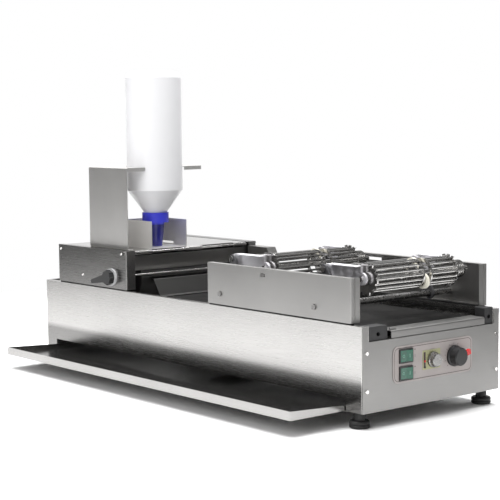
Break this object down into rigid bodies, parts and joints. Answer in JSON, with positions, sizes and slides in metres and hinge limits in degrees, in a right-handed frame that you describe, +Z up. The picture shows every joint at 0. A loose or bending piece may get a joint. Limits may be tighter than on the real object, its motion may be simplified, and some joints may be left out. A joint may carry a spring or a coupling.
{
  "type": "conveyor crepe maker",
  "caption": "Long table-top crepe machine with a bottle-fed batter head, flat hot plate, rod-cage turner and pull-out drip tray.",
  "frame": {"origin": "bottom centre of the bounding box, tray pulled out", "axes": "+X from the batter head to the control end, +Y from the tray side to the far side, +Z up"},
  "size_m": [1.0448, 0.4786, 0.632],
  "materials": {
    "brushed_steel": "brushed sheet",
    "bright_steel": "polished",
    "aluminium": "satin",
    "coated_plate": "dark non-stick coat",
    "painted_steel": "satin paint",
    "black_plastic": "matte",
    "green_rocker": "translucent green",
    "white_plastic": "semi-gloss",
    "blue_plastic": "semi-gloss",
    "nylon": "cream nylon",
    "panel_film": "pinkish grey film",
    "dial_film": "yellow green film",
    "red_plastic": "gloss"
  },
  "bodies": {
    "housing": {"base_shell": "brushed_steel", "front_panel": "brushed_steel", "bulkheads": "brushed_steel", "feet": "black_plastic", "fixings": "bright_steel", "rear_cowl": "brushed_steel", "tray_runners": "brushed_steel", "hotplate": "coated_plate", "hotplate_crossbars": "brushed_steel", "hotplate_heaters": "bright_steel", "exit_slide": "brushed_steel", "slide_blocks": "black_plastic", "seat_strips": "black_plastic", "head_plate_near": "brushed_steel", "head_plate_far": "brushed_steel", "head_rear_cover": "brushed_steel", "hinge_rod": "bright_steel", "bearing_blocks": "black_plastic", "bearing_shelves": "brushed_steel", "batter_trough": "brushed_steel", "peel_bar": "bright_steel", "transfer_slide": "brushed_steel", "lever_bush": "nylon", "gear_motor": "painted_steel", "motor_shelf": "brushed_steel", "drive_chain": "bright_steel", "chain_guard": "brushed_steel", "turner_plate_near": "brushed_steel", "turner_plate_far": "brushed_steel", "tie_rods": "bright_steel", "uprights": "painted_steel", "pivot_shafts": "bright_steel", "control_plate": "panel_film", "switch_bodies": "black_plastic", "dial_plate": "dial_film", "panel_controls": "black_plastic"},
    "tray": {"drip_tray": "brushed_steel"},
    "lid": {"lid": "brushed_steel", "feed_box": "brushed_steel", "bottle_holder": "brushed_steel"},
    "bottle": {"bottle": "white_plastic", "bottle_cap": "blue_plastic"},
    "drum": {"drum": "aluminium", "drum_shaft": "bright_steel", "drum_heaters": "bright_steel"},
    "motor_output": {"motor_drive": "bright_steel"},
    "rear_arms": {"rear_arms": "aluminium"},
    "front_arms": {"front_arms": "aluminium"},
    "rear_cage": {"rear_axle": "bright_steel", "rear_cage": "bright_steel", "rear_rings": "nylon"},
    "front_cage": {"front_axle": "bright_steel", "front_cage": "bright_steel", "front_rings": "nylon"},
    "lever": {"trough_lever": "black_plastic"},
    "speed_knob": {"speed_knob": "aluminium"},
    "thermostat_knob": {"thermostat_knob": "black_plastic", "knob_pointer": "red_plastic"},
    "upper_rocker": {"rocker_upper": "green_rocker"},
    "lower_rocker": {"rocker_lower": "green_rocker"}
  },
  "joints": [
    {"name": "tray_slide", "type": "slide", "parent": "housing", "child": "tray", "axis": [0, 1, 0], "range_m": [-0.08, 0.124]},
    {"name": "lid_hinge", "type": "hinge", "parent": "housing", "child": "lid", "pos_m": [-0.2034, 0.06175, 0.257], "axis": [0, 1, 0], "range_deg": [0, 60]},
    {"name": "bottle_lift", "type": "slide", "parent": "lid", "child": "bottle", "axis": [0, 0, 1], "range_m": [0, 0.2]},
    {"name": "drum_turn", "type": "hinge", "parent": "housing", "child": "drum", "pos_m": [-0.2634, 0.06175, 0.2], "axis": [0, 1, 0], "continuous": true},
    {"name": "motor_turn", "type": "hinge", "parent": "housing", "child": "motor_output", "pos_m": [0.0906, 0.21475, 0.089], "axis": [0, 1, 0], "continuous": true},
    {"name": "rear_arm_lift", "type": "hinge", "parent": "housing", "child": "rear_arms", "pos_m": [0.0856, 0.06175, 0.263], "axis": [0, -1, 0], "range_deg": [0, 60]},
    {"name": "front_arm_lift", "type": "hinge", "parent": "housing", "child": "front_arms", "pos_m": [0.3466, 0.06175, 0.263], "axis": [0, -1, 0], "range_deg": [0, 60]},
    {"name": "rear_cage_turn", "type": "hinge", "parent": "rear_arms", "child": "rear_cage", "pos_m": [0.1746, 0.06175, 0.251], "axis": [0, 1, 0], "continuous": true},
    {"name": "front_cage_turn", "type": "hinge", "parent": "front_arms", "child": "front_cage", "pos_m": [0.4356, 0.06175, 0.251], "axis": [0, 1, 0], "continuous": true},
    {"name": "lever_turn", "type": "hinge", "parent": "housing", "child": "lever", "pos_m": [-0.2484, -0.11325, 0.205], "axis": [0, 1, 0], "range_deg": [-20, 45]},
    {"name": "speed_turn", "type": "hinge", "parent": "housing", "child": "speed_knob", "pos_m": [0.5026, 0.05675, 0.105], "axis": [1, 0, 0], "range_deg": [-270, 0]},
    {"name": "thermostat_turn", "type": "hinge", "parent": "housing", "child": "thermostat_knob", "pos_m": [0.5018, 0.11275, 0.105], "axis": [1, 0, 0], "range_deg": [-180, 90]},
    {"name": "upper_switch", "type": "hinge", "parent": "housing", "child": "upper_rocker", "pos_m": [0.5008, -0.01025, 0.119], "axis": [0, 0, 1], "range_deg": [0, 14]},
    {"name": "lower_switch", "type": "hinge", "parent": "housing", "child": "lower_rocker", "pos_m": [0.5008, -0.01025, 0.0885], "axis": [0, 0, 1], "range_deg": [0, 14]}
  ],
  "couplings": [
    {"joint": "motor_turn", "follows": "drum_turn", "ratio": 1.5556}
  ]
}
